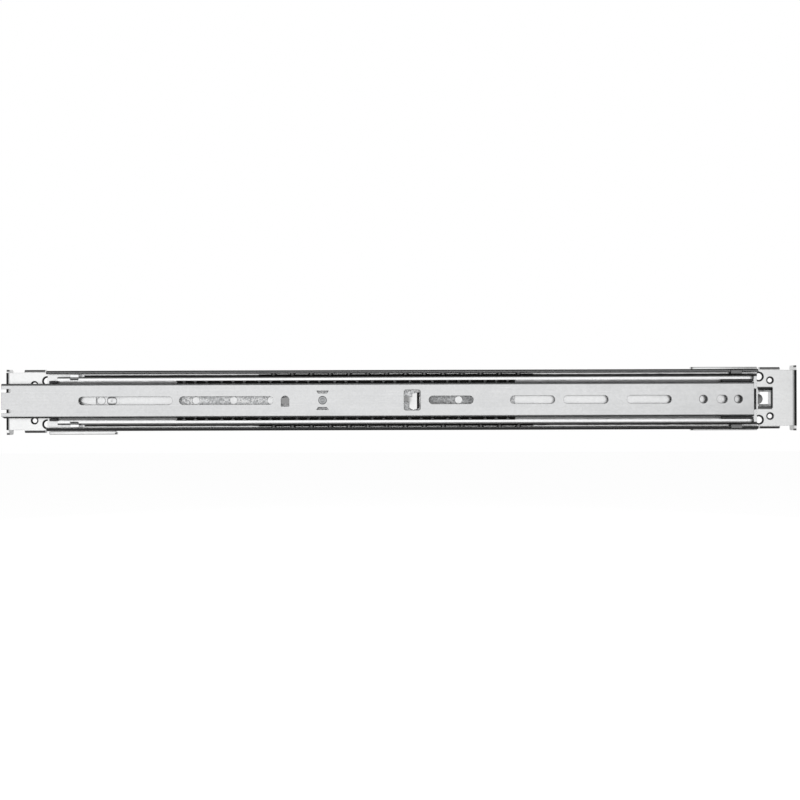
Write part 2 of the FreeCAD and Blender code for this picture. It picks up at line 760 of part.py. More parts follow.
def bracket(plan):
    """A post bracket with its post face at x = 0: flange, neck and riveted tongue."""
    bend = edge_bend_r + bracket_t
    root = bracket_t + bracket_bend_r
    neck_end = plan.tongue[0] - edge_relief
    outline = [(root, plan.neck_edges[0] - bend), (neck_end, plan.neck_edges[0] - bend)]
    outline.append((plan.tongue[0], plan.tongue_edges[0] - bend - edge_relief_depth))
    outline.append((plan.tongue[1], plan.tongue_edges[0] - bend - edge_relief_depth))
    outline.append((plan.tongue[1], plan.tongue_edges[1] + bend + edge_relief_depth))
    outline.append((plan.tongue[0], plan.tongue_edges[1] + bend + edge_relief_depth))
    outline += [(neck_end, plan.neck_edges[1] + bend), (root, plan.neck_edges[1] + bend)]
    pieces = [panel(outline, slide_depth, slide_depth + bracket_t)]
    for edge in plan.neck_edges:
        pieces.append(stiff_edge(*plan.neck, edge))
    for edge in plan.tongue_edges:
        pieces.append(stiff_edge(*plan.tongue, edge))
    reliefs = [flange_relief(edge - math.copysign(bend, edge)) for edge in plan.neck_edges]
    shape = post_flange(plan.flange_edges).cut(reliefs).fuse(pieces).removeSplitter()
    return shape.cut(bracket_holes(plan))


def bracket_holes(plan):
    """Cutters for the post holes, the two rimmed holes and the two large ones."""
    through = (slide_depth - cut_margin, slide_depth + bracket_t + cut_margin)
    places = ((plate_hole_r, plan.hole_x, plate_hole_radius),)
    places += ((big_hole_r, plan.big_hole_x, big_hole_radius),)
    cutters = []
    for side in (-1, 1):
        for r, x, radius in places:
            z = plan.hole_lift + side * radius
            bevel = [(r + hole_rim, slide_depth), (r, slide_depth + hole_rim)]
            cutters.append(prism(plate_hole_flat_count, r, x, z, *through))
            cutters.append(stack(bevel, plate_hole_flat_count, x, z))
    for i in (-1, 0, 1):
        start = V(-cut_margin, 0, i * post_hole_pitch)
        length = bracket_t + 2 * cut_margin
        cutters.append(Part.makeCylinder(post_hole_r, length, start, V(1, 0, 0)))
    return cutters


def front_bracket():
    """The bracket that meets the front post."""
    return bracket(front_plan).cut([rivet_hole(x, z) for x, z in front_rivets])


def window_funnel(shrink, depth0, depth1):
    """A funnel that narrows backwards by the width of the drawn rim, less shrink all round."""
    ends = []
    for depth, rim in ((depth0, (0, 0)), (depth1, (window_rim_side, window_rim_edge))):
        half_x = bracket_window_length / 2 - rim[0] - shrink
        half_z = bracket_window_height / 2 - rim[1] - shrink
        corners = []
        for u, w in ((-1, -1), (1, -1), (1, 1), (-1, 1)):
            z = bracket_window_lift + w * half_z
            corners.append(at(depth, z, bracket_window_x + u * half_x))
        ends.append(corners)
    return frustum(*ends)


def rear_bracket():
    """The bracket that meets the rear post, with a drawn window round the bumper's tail."""
    rim_end = slide_depth + window_rim_depth
    funnel = window_funnel(0, slide_depth, rim_end)
    shape = bracket(rear_plan).cut(funnel).fuse(funnel).removeSplitter()
    shape = shape.cut(window_funnel(window_rim_t, slide_depth, rim_end))
    shape = shape.mirror(V(0, 0, 0), V(1, 0, 0))
    shape.translate(V(rack_depth, 0, 0))
    return shape.cut([rivet_hole(x, z) for x, z in rear_rivets])


# ---- rivets ---------------------------------------------------------------------------------
def rivet_hole(x, z):
    """A hole through the outer web and a bracket, countersunk on the balls' side."""
    start = outer_web_depth
    grow = rivet_clearance
    profile = [
        (rivet_head_r + grow, start - cut_margin),
        (rivet_head_r + grow, start),
        (rivet_r + grow, start + rivet_sink),
        (rivet_r + grow, slide_depth + bracket_t + cut_margin),
    ]
    return stack(profile, rivet_flat_count, x, z)


def rivet(x, z):
    """A flush-headed rivet, its tail formed over the bracket."""
    start = outer_web_depth
    back = slide_depth + bracket_t
    profile = [
        (rivet_head_r, start),
        (rivet_r, start + rivet_sink),
        (rivet_r, back),
        (rivet_tail_r, back),
        (rivet_tail_r, back + rivet_tail_edge),
        (rivet_tail_top_r, back + rivet_tail_height),
    ]
    return stack(profile, rivet_flat_count, x, z)


def rivets(places):
    """A group of equal rivets."""
    return Part.makeCompound([rivet(x, z) for x, z in places])


# ---- release lever --------------------------------------------------------------------------
def release_lever():
    """A flat lever behind the inner web, from its tail past the rivet to its nose."""
    depth0 = inner_t + lever_gap
    w = lever_half_width
    tail = tail_hole_x - tail_hole_width / 2 - tail_overhang
    tail_end = tail_hole_x + tail_neck
    wide = (lever_pivot_x - lever_taper, lever_pivot_x + lever_taper)
    neck = lever_pivot_x + 2 * lever_taper
    nose_right = window_x + window_length / 2 - lever_t
    point = window_x + foot_point
    heel = window_x - foot_heel
    shoulder = foot_rise - nose_foot
    outline = [(tail, -tail_low), (tail, tail_high), (tail_end, tail_neck_high), (wide[0], w)]
    outline += [(wide[1], w), (neck, lever_neck_high), (window_x, lever_neck_high)]
    outline += [(window_x, nose_top - nose_slant), (nose_right, nose_top)]
    outline += [(nose_right, shoulder), (point, -nose_foot), (heel, shoulder)]
    outline += [(heel, -lever_neck_low), (neck, -lever_neck_low), (wide[1], -w), (wide[0], -w)]
    outline.append((tail_end, -tail_neck_low))
    plate = panel(outline, depth0, depth0 + lever_t)
    return plate.cut(lever_rivet_hole())


def lever_rivet_hole():
    """Running hole for the lever's rivet, countersunk in the inner web."""
    grow = lever_running_clearance
    profile = [
        (lever_rivet_head_r + grow, -cut_margin),
        (lever_rivet_head_r + grow, 0),
        (lever_rivet_r + grow, lever_rivet_sink),
        (lever_rivet_r + grow, inner_flange_depth),
    ]
    return stack(profile, lever_rivet_flat_count, lever_pivot_x, 0)


def lever_rivet():
    """The lever's pivot: a flush head on the server side, a shank and a formed tail."""
    back = inner_t + 2 * lever_gap + lever_t
    profile = [
        (lever_rivet_head_r, 0),
        (lever_rivet_r, lever_rivet_sink),
        (lever_rivet_r, back),
        (lever_rivet_head_r, back),
        (lever_rivet_head_r, back + lever_head_height / 2),
        (lever_rivet_head_r / 2, back + lever_head_height),
    ]
    return stack(profile, lever_rivet_flat_count, lever_pivot_x, 0)


def main():
    """Build each piece and write it as a STEP file named after its node."""
    pieces = {
        "outer_member": outer_member(),
        "front_bracket": front_bracket(),
        "rear_bracket": rear_bracket(),
        "front_bracket_rivets": rivets(front_rivets),
        "rear_bracket_rivets": rivets(rear_rivets),
        "rear_bumper": rear_bumper(),
        "outer_cage": outer_cage(),
        "middle_member": middle_member(),
        "inner_cage": inner_cage(),
        "inner_member": inner_member(),
        "release_lever": release_lever(),
        "lever_rivet": lever_rivet(),
    }
    for name, shape in zip(("upper", "lower"), both(front_buffer())):
        pieces["front_buffer_" + name] = shape
    for name, shape in zip(("upper", "lower"), both(rear_guide())):
        pieces["rear_guide_" + name] = shape
    inner_places = inner_ball_places()
    outer_places = outer_ball_places()
    for name, side in (("upper", 1), ("lower", -1)):
        inner_balls = ball_row(inner_places, inner_row_depth, side * inner_row_radius)
        outer_balls = ball_row(outer_places, outer_row_depth, side * outer_row_radius)
        pieces["inner_balls_" + name] = inner_balls
        pieces["outer_balls_" + name] = outer_balls
    os.makedirs("parts", exist_ok=True)
    for name, shape in pieces.items():
        shape.exportStep(f"parts/{name}.step")
        solids = len(shape.Solids)
        print(f"{name}: {solids} solids, valid {shape.isValid()}, {shape.Volume:.1f} mm3")


main()
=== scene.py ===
"""Finish and detail for a packed ball-bearing rack slide.

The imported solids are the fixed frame. This script dresses each of them, stands smooth balls,
turned rivets and fine stampings on them, and sets up the studio. Lengths are in metres in the
part's own frame: +X runs to the rear of the rack, +Z is up, and the server lies on the -Y side.
Depths are measured back from the inner member's front face.
"""

import logging
import math
from dataclasses import asdict, dataclass, field
from enum import Enum
from typing import Sequence

import bmesh
import bpy
from mathutils import Matrix, Vector


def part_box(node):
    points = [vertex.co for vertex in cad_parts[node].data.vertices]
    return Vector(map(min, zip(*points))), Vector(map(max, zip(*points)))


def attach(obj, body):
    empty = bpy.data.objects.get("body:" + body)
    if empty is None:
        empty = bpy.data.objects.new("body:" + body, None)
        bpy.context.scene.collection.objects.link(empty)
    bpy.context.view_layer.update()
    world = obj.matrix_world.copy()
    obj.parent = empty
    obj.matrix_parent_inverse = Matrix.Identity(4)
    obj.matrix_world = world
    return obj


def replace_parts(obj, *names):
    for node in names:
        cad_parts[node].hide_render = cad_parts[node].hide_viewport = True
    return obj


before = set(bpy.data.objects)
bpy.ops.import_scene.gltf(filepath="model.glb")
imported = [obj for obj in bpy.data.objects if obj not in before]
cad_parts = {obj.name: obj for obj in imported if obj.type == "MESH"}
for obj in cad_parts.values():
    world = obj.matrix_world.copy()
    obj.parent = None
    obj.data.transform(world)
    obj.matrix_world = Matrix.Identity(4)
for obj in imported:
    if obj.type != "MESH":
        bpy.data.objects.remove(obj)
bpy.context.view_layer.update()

Point = tuple[float, float, float]
Colour = tuple[float, float, float]
Pairs = tuple[tuple[float, float], ...]
Node = bpy.types.Node
Socket = bpy.types.NodeSocket
Tree = bpy.types.NodeTree
Material = bpy.types.Material
Mesh = bmesh.types.BMesh
Piece = bpy.types.Object

log = logging.getLogger("slide")

FACE_Y = -0.0228  # the inner member's front face
TURN_STEPS = 40  # sides of a turned shape
BALL_DIVISIONS = 3  # of the sphere that each ball is made from
SNAP = 1e-6  # places closer than this are one place
PLAIN: Point = (1.0, 1.0, 1.0)  # a scale that changes nothing
WHITE = (1.0, 1.0, 1.0, 1.0)


class Body(Enum):
    """The bodies that carry the pieces made here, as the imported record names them."""

    RACK = "rack_side"
    OUTER_CAGE = "outer_ball_cage"
    INNER_CAGE = "inner_ball_cage"
    SERVER = "server_side"


# ---- shader building ----
@dataclass
class Board:
    """A node tree that is being laid out.

    Args:
        tree: the material's, group's or world's nodes.
    """

    tree: Tree

    def add(self, kind: str, **values: object) -> Node:
        """Adds a node.

        Args:
            kind: the node's type name after ShaderNode.
            values: its attributes, or values of its inputs under their lower-case names.

        Returns:
            The new node.
        """
        node = self.tree.nodes.new("ShaderNode" + kind)
        for name, value in values.items():
            label = name.replace("_", " ").title()
            if label in node.inputs:
                node.inputs[label].default_value = value
            else:
                setattr(node, name, value)
        return node

    def link(self, source: Socket, target: Socket) -> None:
        """Joins an output to an input."""
        self.tree.links.new(source, target)

    def maths(self, operation: str, *terms: object, clamp: bool = False) -> Socket:
        """Adds a Math node.

        Args:
            operation: the operation's name.
            terms: up to three sockets or numbers.
            clamp: whether the result is kept between 0 and 1.

        Returns:
            The node's output.
        """
        node = self.add("Math", operation=operation, use_clamp=clamp)
        for slot, term in zip(node.inputs, terms):
            if isinstance(term, (int, float)):
                slot.default_value = term
            else:
                self.link(term, slot)
        return node.outputs[0]

    def blend(self, factor: object, first: object, second: object, mode: str = "MIX") -> Socket:
        """Adds a colour Mix node.

        Args:
            factor: a socket or a number.
            first: the first colour, or its socket.
            second: the second colour, or its socket.
            mode: the blending mode.

        Returns:
            The node's colour output.
        """
        node = self.add("Mix", data_type="RGBA", blend_type=mode)
        slots = (node.inputs[0], node.inputs[6], node.inputs[7])
        for slot, term in zip(slots, (factor, first, second)):
            if isinstance(term, Socket):
                self.link(term, slot)
            elif isinstance(term, (int, float)):
                slot.default_value = term
            else:
                slot.default_value = (*term, 1.0)
        return node.outputs[2]

    def span(self, value: Socket, low: float, high: float) -> Socket:
        """Maps a value to the range from 0 to 1, clamped.

        Args:
            value: the socket that is mapped.
            low: the value that becomes 0.
            high: the value that becomes 1.

        Returns:
            The mapped value.
        """
        node = self.add("MapRange", from_min=low, from_max=high)
        self.link(value, node.inputs["Value"])
        return node.outputs[0]

    def place(self, stretch: Point = PLAIN, turned: Point = (0.0, 0.0, 0.0)) -> Socket:
        """The point on the piece, scaled and turned.

        Args:
            stretch: how much it is scaled along each axis.
            turned: its turn about each axis, in radians.

        Returns:
            The point.
        """
        where = self.add("TexCoord")
        mapping = self.add("Mapping", scale=stretch, rotation=turned)
        self.link(where.outputs["Object"], mapping.inputs["Vector"])
        return mapping.outputs[0]

    def noise(self, stretch: Point, **values: float) -> Node:
        """Adds a noise over the piece.

        Args:
            stretch: how fine the noise is along each axis.
            values: values of its inputs under their lower-case names.

        Returns:
            The noise node.
        """
        node = self.add("TexNoise", **values)
        self.link(self.place(stretch), node.inputs["Vector"])
        return node

    def relief(self, height: Socket, edge: Node, strength: float, distance: float) -> None:
        """Raises the shader's surface and rounds its edges.

        Args:
            height: the height of the surface.
            edge: the broken edge's group node.
            strength: how strongly the height shows.
            distance: depth of the relief.
        """
        bump = self.add("Bump", strength=strength, distance=distance)
        self.link(height, bump.inputs["Height"])
        self.link(edge.outputs["Normal"], bump.inputs["Normal"])
        self.link(bump.outputs[0], self.shader.inputs["Normal"])

    @property
    def shader(self) -> Node:
        """The material's shader."""
        return self.tree.nodes["Principled BSDF"]


CRYSTAL_BEND = 0.0012  # how far a crystal's border strays
SCRATCH_TILT = 0.12  # of the scratches off the X axis, in radians
RAGGED = 0.0006  # how far the border of the painted track shade strays
GAP_SHADE_BORDER = (-0.0001, 0.0003)  # from no painted shade to full cover
BORDER_CORE = 0.4  # share of a soft border that is covered in full
FILM_CLOUD = (0.46, 0.72)  # of the noise, from no oil film to a full one
SCRATCH_HAIR = (0.72, 0.78)  # of the noise, from no scratch to a full one
DUST_SPECK = (0.5, 0.8)  # of the noise, from no dust to full dust
EDGE_TURN = (0.99, 0.8)  # cosine of the normal's turn, from a face to an edge


def blank(name: str) -> tuple[Material, Board, Node]:
    """Starts a material.

    Args:
        name: the material's name.

    Returns:
        The material, its node board and its shader.
    """
    material = bpy.data.materials.new(name)
    material.use_nodes = True
    board = Board(material.node_tree)
    return material, board, board.shader


class Effect(Enum):
    """Surface effects that several finishes share, each built once as a node group."""

    ROLL_LINES = "Roll lines"
    SPANGLE = "Zinc spangle"
    HANDLING = "Handling marks"
    SOFT_EDGE = "Broken edge"
    MOULD_GRAIN = "Mould grain"
    TRACK_GREASE = "Track grease"
    STAMPED_RING = "Stamped ring"
    DULL_FRAME = "Dull frame"


@dataclass
class EffectShelf:
    """The node groups, built as they are first asked for.

    Args:
        made: the groups so far.
    """

    made: dict[Effect, Tree] = field(default_factory=dict)

    def get(self, effect: Effect) -> Tree:
        """The node group of an effect, built by the method of the same name.

        Args:
            effect: the effect.

        Returns:
            The group.
        """
        if effect not in self.made:
            self.made[effect] = getattr(self, effect.name.lower())()
        return self.made[effect]

    def place(self, board: Board, effect: Effect, **values: float) -> Node:
        """Stands an effect's group in a material.

        Args:
            board: the material's node board.
            effect: the effect.
            values: values of the group's inputs under their lower-case names.

        Returns:
            The group node.
        """
        node = board.add("Group", node_tree=self.get(effect))
        for name, value in values.items():
            node.inputs[name.replace("_", " ").capitalize()].default_value = value
        return node

    @staticmethod
    def _group(effect: Effect, inputs: dict[str, float], *outputs: str) -> tuple[Board, Node, Node]:
        """Starts a node group.

        Args:
            effect: the effect that it makes.
            inputs: the name and the usual value of each number that it takes.
            outputs: the names of the numbers that it puts out; "Normal" is a vector.

        Returns:
            The board, the group's input node and its output node.
        """
        tree = bpy.data.node_groups.new(effect.value, "ShaderNodeTree")
        for label, value in inputs.items():
            socket = tree.interface.new_socket(
                name=label, in_out="INPUT", socket_type="NodeSocketFloat"
            )
            socket.default_value = value
        for label in outputs:
            kind = "NodeSocketVector" if label == "Normal" else "NodeSocketFloat"
            tree.interface.new_socket(name=label, in_out="OUTPUT", socket_type=kind)
        board = Board(tree)
        return board, tree.nodes.new("NodeGroupInput"), tree.nodes.new("NodeGroupOutput")

    def roll_lines(self) -> Tree:
        """Fine streaks along X, such as a rolling mill leaves, with slow bands across them.

        Returns:
            A group with the input Contrast, and the outputs Tone and Height.
        """
        board, given, out = self._group(Effect.ROLL_LINES, {"Contrast": 0.2}, "Tone", "Height")
        fine = board.noise((9.0, 900.0, 900.0), scale=1.0, detail=3.0, roughness=0.6)
        broad = board.noise((5.0, 60.0, 60.0), scale=1.0, detail=2.0)
        streak = board.maths("SUBTRACT", fine.outputs[0], 0.5)
        band = board.maths("SUBTRACT", broad.outputs[0], 0.5)
        both = board.maths("ADD", streak, band)
        tone = board.maths("MULTIPLY_ADD", both, given.outputs["Contrast"], 1.0)
        board.link(tone, out.inputs["Tone"])
        board.link(fine.outputs[0], out.inputs["Height"])
        return board.tree

    def spangle(self) -> Tree:
        """Patchy crystals of a galvanised coat.

        Returns:
            A group with the inputs Size and Contrast, and the outputs Tone and Rough.
        """
        inputs = {"Size": 600.0, "Contrast": 0.3}
        board, given, out = self._group(Effect.SPANGLE, inputs, "Tone", "Rough")
        warp = board.add("TexNoise", scale=500.0, detail=2.0)
        spot = board.place()
        board.link(spot, warp.inputs["Vector"])
        bend = board.add("VectorMath", operation="MULTIPLY_ADD")
        bend.inputs[1].default_value = (CRYSTAL_BEND,) * 3
        board.link(warp.outputs["Color"], bend.inputs[0])
        board.link(spot, bend.inputs[2])
        cells = board.add("TexVoronoi")
        board.link(bend.outputs[0], cells.inputs["Vector"])
        board.link(given.outputs["Size"], cells.inputs["Scale"])
        patch = board.add("SeparateColor")
        board.link(cells.outputs["Color"], patch.inputs[0])
        swing = board.maths("SUBTRACT", patch.outputs[0], 0.5)
        tone = board.maths("MULTIPLY_ADD", swing, given.outputs["Contrast"], 1.0)
        board.link(tone, out.inputs["Tone"])
        board.link(patch.outputs[1], out.inputs["Rough"])
        return board.tree

    def handling(self) -> Tree:
        """Thin oil and finger smears, and a few hairline scratches.

        Returns:
            A group with the inputs Smear and Scratch, and the outputs Film and Mark.
        """
        inputs = {"Smear": 0.5, "Scratch": 0.5}
        board, given, out = self._group(Effect.HANDLING, inputs, "Film", "Mark")
        cloud = board.noise((28.0, 70.0, 70.0), scale=1.0, detail=4.0, roughness=0.55)
        film = board.span(cloud.outputs[0], *FILM_CLOUD)
        board.link(board.maths("MULTIPLY", film, given.outputs["Smear"]), out.inputs["Film"])
        hair = board.add("TexNoise", scale=1.0, detail=1.0)
        along = board.place((35.0, 35.0, 1500.0), (0.0, SCRATCH_TILT, 0.0))
        board.link(along, hair.inputs["Vector"])
        rare = board.span(hair.outputs[0], *SCRATCH_HAIR)
        board.link(board.maths("MULTIPLY", rare, given.outputs["Scratch"]), out.inputs["Mark"])
        return board.tree

    def soft_edge(self) -> Tree:
        """The broken edge of cut sheet: a rounded normal, and a mask along the edge.

        Returns:
            A group with the input Radius, and the outputs Mask and Normal.
        """
        board, given, out = self._group(Effect.SOFT_EDGE, {"Radius": 0.0002}, "Mask", "Normal")
        bevel = board.add("Bevel", samples=6)
        board.link(given.outputs["Radius"], bevel.inputs["Radius"])
        flat = board.add("NewGeometry")
        dot = board.add("VectorMath", operation="DOT_PRODUCT")
        board.link(bevel.outputs[0], dot.inputs[0])
        board.link(flat.outputs["Normal"], dot.inputs[1])
        board.link(board.span(dot.outputs["Value"], *EDGE_TURN), out.inputs["Mask"])
        board.link(bevel.outputs[0], out.inputs["Normal"])
        return board.tree

    def mould_grain(self) -> Tree:
        """The spark-eroded grain of a moulded face, with a dusting of grey.

        Returns:
            A group with the inputs Grain and Dust, and the outputs Height and Bloom.
        """
        inputs = {"Grain": 2500.0, "Dust": 0.3}
        board, given, out = self._group(Effect.MOULD_GRAIN, inputs, "Height", "Bloom")
        grain = board.add("TexVoronoi")
        board.link(board.place(), grain.inputs["Vector"])
        board.link(given.outputs["Grain"], grain.inputs["Scale"])
        board.link(grain.outputs["Distance"], out.inputs["Height"])
        dust = board.noise(PLAIN, scale=420.0, detail=5.0)
        speck = board.span(dust.outputs[0], *DUST_SPECK)
        board.link(board.maths("MULTIPLY", speck, given.outputs["Dust"]), out.inputs["Bloom"])
        return board.tree

    @staticmethod
    def _spot(board: Board) -> Sequence[Socket]:
        """The point on the piece, taken apart.

        Args:
            board: the group's node board.

        Returns:
            Its x, y and z.
        """
        parts = board.add("SeparateXYZ")
        board.link(board.place(), parts.inputs[0])
        return parts.outputs

    def _offsets(self, board: Board, given: Node) -> tuple[Socket, Socket, Socket]:
        """Where the point on the piece lies from the middle that a group is given.

        Args:
            board: the group's node board.
            given: the group's input node.

        Returns:
            How far it lies from the group's X and from its Z, and its y.
        """
        x, y, z = self._spot(board)
        across = board.maths("SUBTRACT", x, given.outputs["X"])
        return across, board.maths("SUBTRACT", z, given.outputs["Z"]), y

    def track_grease(self) -> Tree:
        """Painted shade in the ball-track gaps, or on a web, between two heights above and below
        the centreline.

        Returns:
            A group with the inputs Low, High and Start, where it begins along X, and the output
            Mask.
        """
        inputs = {"Low": 0.015, "High": 0.020, "Start": -1.0}
        board, given, out = self._group(Effect.TRACK_GREASE, inputs, "Mask")
        x, _, z = self._spot(board)
        height = board.maths("ABSOLUTE", z)
        patchy = board.noise((160.0, 500.0, 500.0), scale=1.0, detail=3.0)
        ragged = board.maths("MULTIPLY_ADD", patchy.outputs[0], RAGGED, -RAGGED / 2.0)
        edge = board.maths("ADD", height, ragged)
        above = board.maths("SUBTRACT", edge, given.outputs["Low"])
        below = board.maths("SUBTRACT", given.outputs["High"], edge)
        near = board.maths("MINIMUM", above, below)
        near = board.maths("MINIMUM", near, board.maths("SUBTRACT", x, given.outputs["Start"]))
        board.link(board.span(near, *GAP_SHADE_BORDER), out.inputs["Mask"])
        return board.tree

    def stamped_ring(self) -> Tree:
        """A soft ring, or a disc where its radius is 0: masks painted rim shade and darker patches.

        Returns:
            A group with the inputs X, Z, Radius and Width, and the output Mask.
        """
        inputs = {"X": 0.0, "Z": 0.0, "Radius": 0.004, "Width": 0.0004}
        board, given, out = self._group(Effect.STAMPED_RING, inputs, "Mask")
        squares = [board.maths("POWER", side, 2.0) for side in self._offsets(board, given)[:2]]
        far = board.maths("SQRT", board.maths("ADD", *squares))
        reach = board.maths("SUBTRACT", far, given.outputs["Radius"])
        share = board.maths("DIVIDE", board.maths("ABSOLUTE", reach), given.outputs["Width"])
        board.link(board.span(share, 1.0, BORDER_CORE), out.inputs["Mask"])
        return board.tree

    def dull_frame(self) -> Tree:
        """Painted shade along a bend, beside an opening, over a pressed tab or in a gap.

        Returns:
            A group with the inputs X, Z, Half x, Half z, Width and Back, the depth behind which
            it stops, and the output Mask.
        """
        inputs = {"X": 0.0, "Z": 0.0, "Half x": 0.004, "Half z": 0.004, "Width": 0.001, "Back": 1.0}
        board, given, out = self._group(Effect.DULL_FRAME, inputs, "Mask")
        across, up, y = self._offsets(board, given)
        sides = [
            board.maths("SUBTRACT", board.maths("ABSOLUTE", side), given.outputs[half])
            for side, half in ((across, "Half x"), (up, "Half z"))
        ]
        share = board.maths("DIVIDE", board.maths("MAXIMUM", *sides), given.outputs["Width"])
        mask = board.span(share, 1.0, BORDER_CORE)
        ahead = board.maths("LESS_THAN", y, given.outputs["Back"])
        board.link(board.maths("MULTIPLY", mask, ahead), out.inputs["Mask"])
        return board.tree


SHELF = EffectShelf()
GAP_SHADE_COLOUR: Colour = (0.018, 0.017, 0.016)  # painted shade in the ball-track gaps, nearly black
DARK_PATCH: Colour = (0.30, 0.30, 0.30)  # a darker patch
FILM_DULLS = 0.12  # roughness that an oil film adds
CRYSTALS_DULL = 0.10  # roughness that the zinc crystals add, at full contrast
GAP_SHADE_DULLS = 0.35  # roughness added under the painted track shade
DUST_DULLS = 0.4  # roughness that dust adds
SHEET_RELIEF = 0.00002  # depth of a roll line
GRAIN_RELIEF = 0.00005  # depth of a moulded grain
MOULD_EDGE = 0.0003  # radius of a moulded edge


@dataclass(frozen=True)
class PaintedShade:
    """A place where shade is painted into a sheet's colour.

    Args:
        x: its middle along X.
        z: its middle height.
        half_x: half its length along X.
        half_z: half its height.
        width: how wide its soft border is.
        tone: the share of the colour's brightness that the painted shade leaves.
        back: the y behind which it stops.
    """

    x: float
    z: float
    half_x: float
    half_z: float
    width: float
    tone: float
    back: float = 1.0

    def shade(self, board: Board, skin: Socket) -> Socket:
        """Paints the shade into a sheet's colour there.

        Args:
            board: the material's node board.
            skin: the colour so far.

        Returns:
            The colour with the painted shade in it.
        """
        values = asdict(self)
        darker = board.blend(1.0, skin, (values.pop("tone"),) * 3, "MULTIPLY")
        shade_node = SHELF.place(board, Effect.DULL_FRAME, **values)
        return board.blend(shade_node.outputs["Mask"], skin, darker)


@dataclass(frozen=True)
class SheetFinish:
    """A zinc-plated steel surface, with shade painted into its colour where the fields say.

    Args:
        name: the material's name.
        slot: the record's material slot; not used.
        colour: the plating's colour.
        film_colour: the colour under an oily smear.
        edge_colour: the colour painted along every broken edge and in the rings: painted shade.
        scratch_colour: the colour of a hairline scratch.
        roughness: how dull the plating is.
        lines: contrast of the roll lines.
        spangle: contrast of the zinc crystals.
        crystal: crystals per metre.
        smear: strength of the oil film.
        scratch: strength of the hairline scratches.
        relief: depth of the roll lines as bump.
        edge_radius: radius of the broken edges.
        tracks: the low and high edge, the cover and the first x of each band of painted track
            shade.
        web: the height up to which shade is painted on the web, and the share of brightness left.
        rings: the x, z and radius of each ring of painted shade round a hole or a rivet.
        ring_width: how wide the rings of painted shade are.
        stains: the x, z and reach of each darker patch.
        frames: the places where shade is painted.
    """

    name: str
    slot: str
    colour: Colour
    film_colour: Colour = (0.62, 0.63, 0.64)
    edge_colour: Colour = (0.34, 0.34, 0.35)
    scratch_colour: Colour = (0.92, 0.92, 0.92)
    roughness: float = 0.24
    lines: float = 0.10
    spangle: float = 0.05
    crystal: float = 600.0
    smear: float = 0.35
    scratch: float = 0.3
    relief: float = 0.06
    edge_radius: float = 0.0003
    tracks: tuple[tuple[float, float, float, float], ...] = ()
    web: tuple[float, float] | None = None
    rings: tuple[Point, ...] = ()
    ring_width: float = 0.0004
    stains: tuple[Point, ...] = ()
    frames: tuple[PaintedShade, ...] = ()

    def build(self) -> Material:
        """Makes the material.

        Returns:
            The new material.
        """
        material, board, metal = blank(self.name)
        metal.inputs["Metallic"].default_value = 1.0
        lines = SHELF.place(board, Effect.ROLL_LINES, contrast=self.lines)
        zinc = SHELF.place(board, Effect.SPANGLE, size=self.crystal, contrast=self.spangle)
        touch = SHELF.place(board, Effect.HANDLING, smear=self.smear, scratch=self.scratch)
        edge = SHELF.place(board, Effect.SOFT_EDGE, radius=self.edge_radius)
        tone = board.maths("MULTIPLY", lines.outputs["Tone"], zinc.outputs["Tone"])
        grey = board.add("CombineColor")
        for channel in grey.inputs:
            board.link(tone, channel)
        plated = board.blend(1.0, self.colour, grey.outputs[0], "MULTIPLY")
        filmed = board.blend(touch.outputs["Film"], plated, self.film_colour)
        skin = board.blend(touch.outputs["Mark"], filmed, self.scratch_colour)
        # Painted shade on the web, which lies recessed behind the inner member.
        if self.web:
            inside = SHELF.place(board, Effect.TRACK_GREASE, low=-1.0, high=self.web[0])
            shaded_web = board.blend(1.0, skin, (self.web[1],) * 3, "MULTIPLY")
            skin = board.blend(inside.outputs["Mask"], skin, shaded_web)
        # Painted shade along every broken edge.
        skin = board.blend(edge.outputs["Mask"], skin, self.edge_colour)
        # The rings paint shade round holes and rivets; the patches only darken the colour.
        marks = [(x, z, r, self.ring_width, self.edge_colour) for x, z, r in self.rings]
        marks += [(x, z, 0.0, reach, DARK_PATCH) for x, z, reach in self.stains]
        for x, z, radius, width, colour in marks:
            mark = SHELF.place(board, Effect.STAMPED_RING, x=x, z=z, radius=radius, width=width)
            skin = board.blend(mark.outputs["Mask"], skin, colour)
        # Each frame paints shade into the colour.
        for place in self.frames:
            skin = place.shade(board, skin)
        rough = board.maths("MULTIPLY_ADD", touch.outputs["Film"], FILM_DULLS, self.roughness)
        dulling = CRYSTALS_DULL * self.spangle
        rough = board.maths("MULTIPLY_ADD", zinc.outputs["Rough"], dulling, rough)
        unshaded: Socket | float = 1.0
        # Each track paints near-black shade into a ball-track gap, and makes it less metallic.
        for low, high, cover, start in self.tracks:
            gap_shade_node = SHELF.place(board, Effect.TRACK_GREASE, low=low, high=high, start=start)
            mask = board.maths("MULTIPLY", gap_shade_node.outputs["Mask"], cover)
            skin = board.blend(mask, skin, GAP_SHADE_COLOUR)
            unshaded = board.maths("SUBTRACT", unshaded, mask, clamp=True)
            rough = board.maths("MULTIPLY_ADD", mask, GAP_SHADE_DULLS, rough)
        if self.tracks:
            board.link(unshaded, metal.inputs["Metallic"])
        board.link(skin, metal.inputs["Base Color"])
        board.link(rough, metal.inputs["Roughness"])
        board.relief(lines.outputs["Height"], edge, self.relief, SHEET_RELIEF)
        return material


